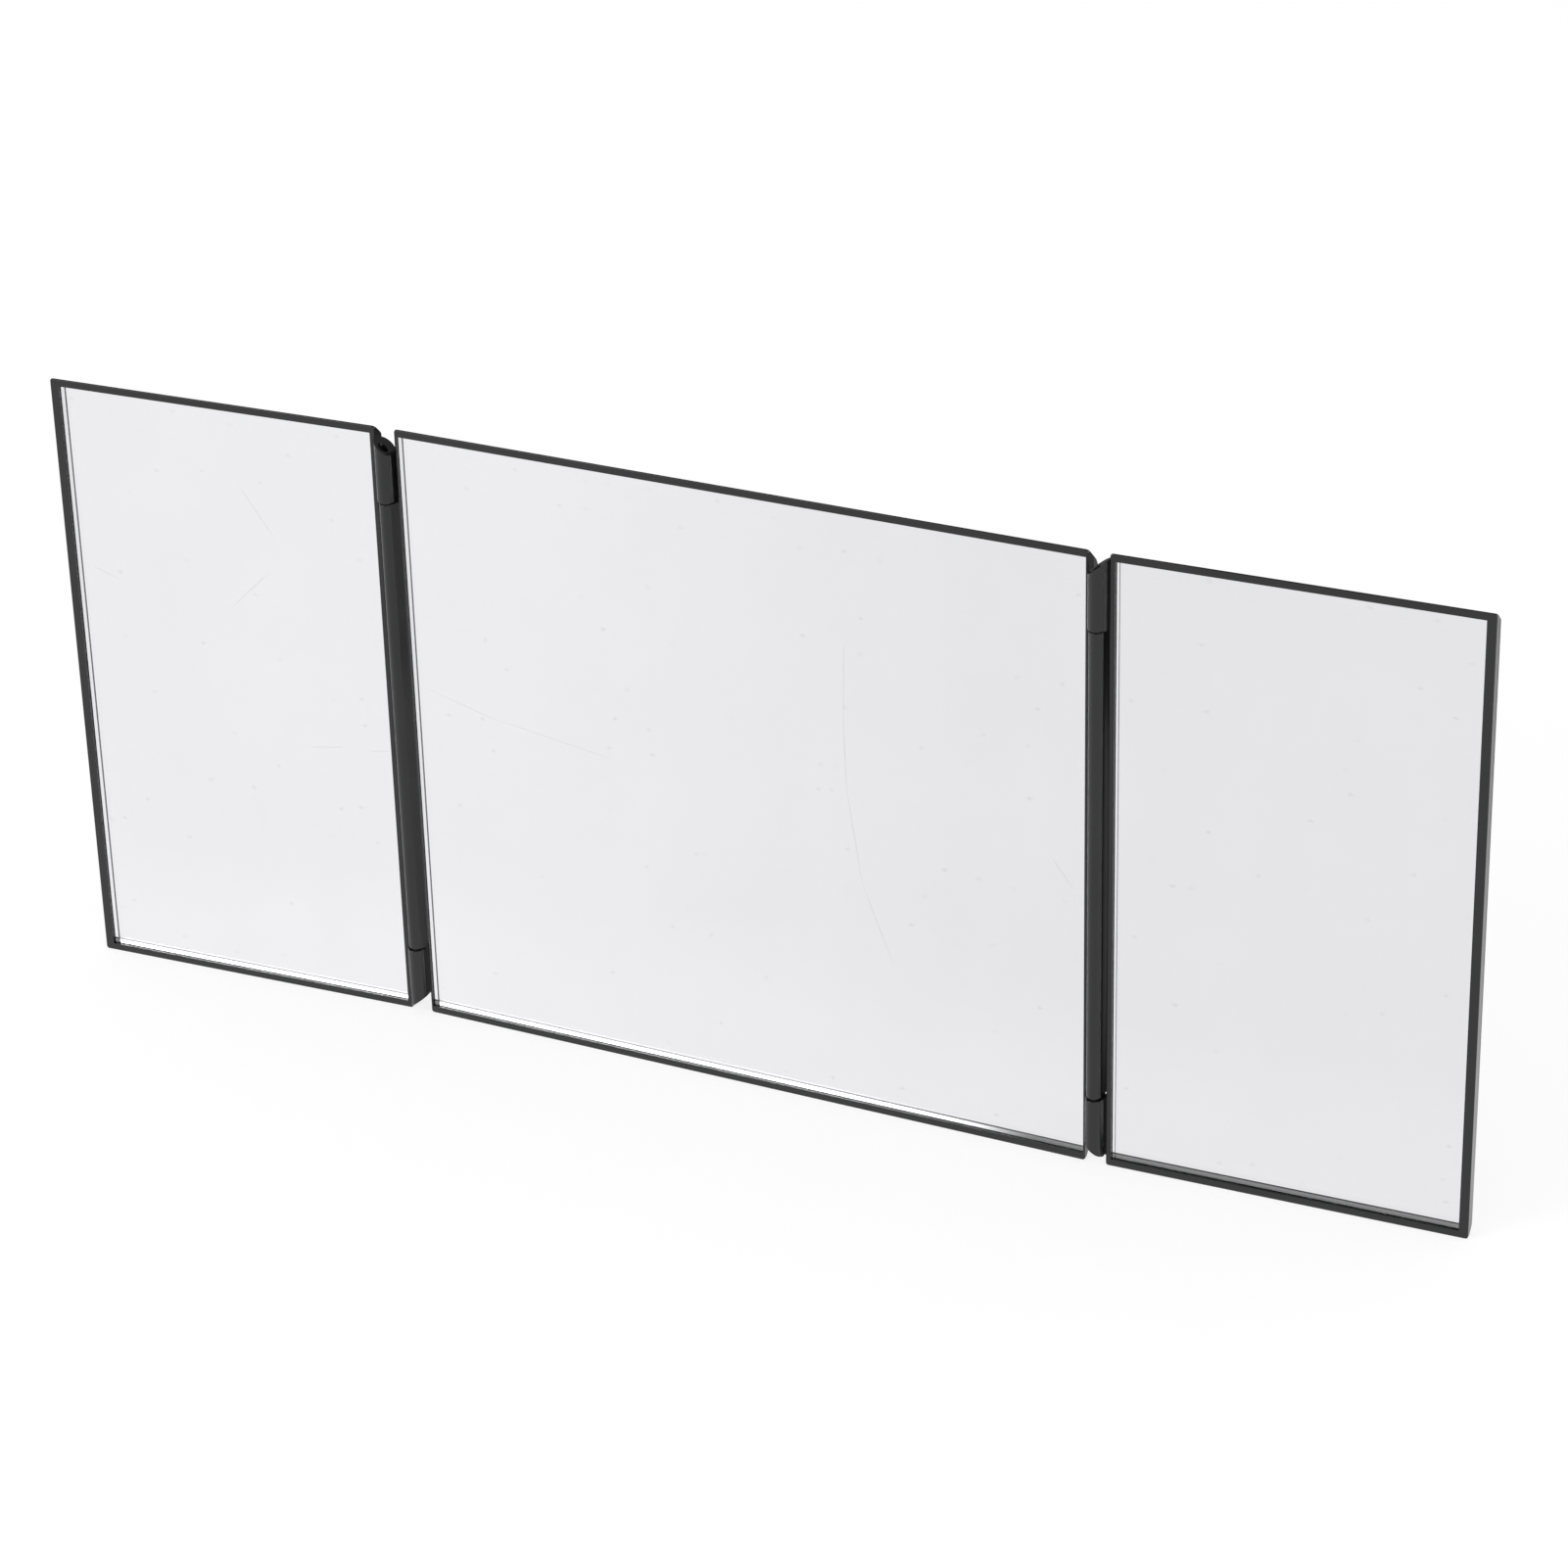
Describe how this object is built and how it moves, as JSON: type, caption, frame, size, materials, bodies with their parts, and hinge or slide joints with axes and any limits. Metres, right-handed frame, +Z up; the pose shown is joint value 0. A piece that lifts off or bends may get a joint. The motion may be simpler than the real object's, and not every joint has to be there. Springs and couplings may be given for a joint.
{
  "type": "folding mirror",
  "caption": "Folding vanity mirror: a wide centre mirror in a thin black plastic tray, with narrow mirror wings on long barrel hinges that fold forward over it.",
  "frame": {"origin": "at the foot of the centre panel, in the middle of its width and of its depth", "axes": "+X to the viewer's right along the centre panel, +Y from the front to the back, +Z up"},
  "size_m": [0.518, 0.0195, 0.225],
  "materials": {
    "black_plastic": "satin",
    "mirror_glass": "polished",
    "steel": "satin",
    "foam": "matte"
  },
  "bodies": {
    "centre_panel": {"centre_tray": "black_plastic", "centre_mirror": "mirror_glass", "left_upper_hinge_pin": "steel", "left_lower_hinge_pin": "steel", "right_upper_hinge_pin": "steel", "right_lower_hinge_pin": "steel", "centre_upper_left_foam_strip": "foam", "centre_upper_right_foam_strip": "foam", "centre_middle_left_foam_strip": "foam", "centre_middle_right_foam_strip": "foam", "centre_lower_left_foam_strip": "foam", "centre_lower_right_foam_strip": "foam"},
    "left_wing": {"left_tray": "black_plastic", "left_mirror": "mirror_glass", "left_upper_foam_strip": "foam", "left_middle_foam_strip": "foam", "left_lower_foam_strip": "foam"},
    "right_wing": {"right_tray": "black_plastic", "right_mirror": "mirror_glass", "right_upper_foam_strip": "foam", "right_middle_foam_strip": "foam", "right_lower_foam_strip": "foam"}
  },
  "joints": [
    {"name": "left_wing_hinge", "type": "hinge", "parent": "centre_panel", "child": "left_wing", "pos_m": [-0.12965, -0.0058, 0.1125], "axis": [0, 0, 1], "range_deg": [-8.85, 178.15]},
    {"name": "right_wing_hinge", "type": "hinge", "parent": "centre_panel", "child": "right_wing", "pos_m": [0.12965, -0.0058, 0.1125], "axis": [0, 0, -1], "range_deg": [-4, 183]}
  ]
}
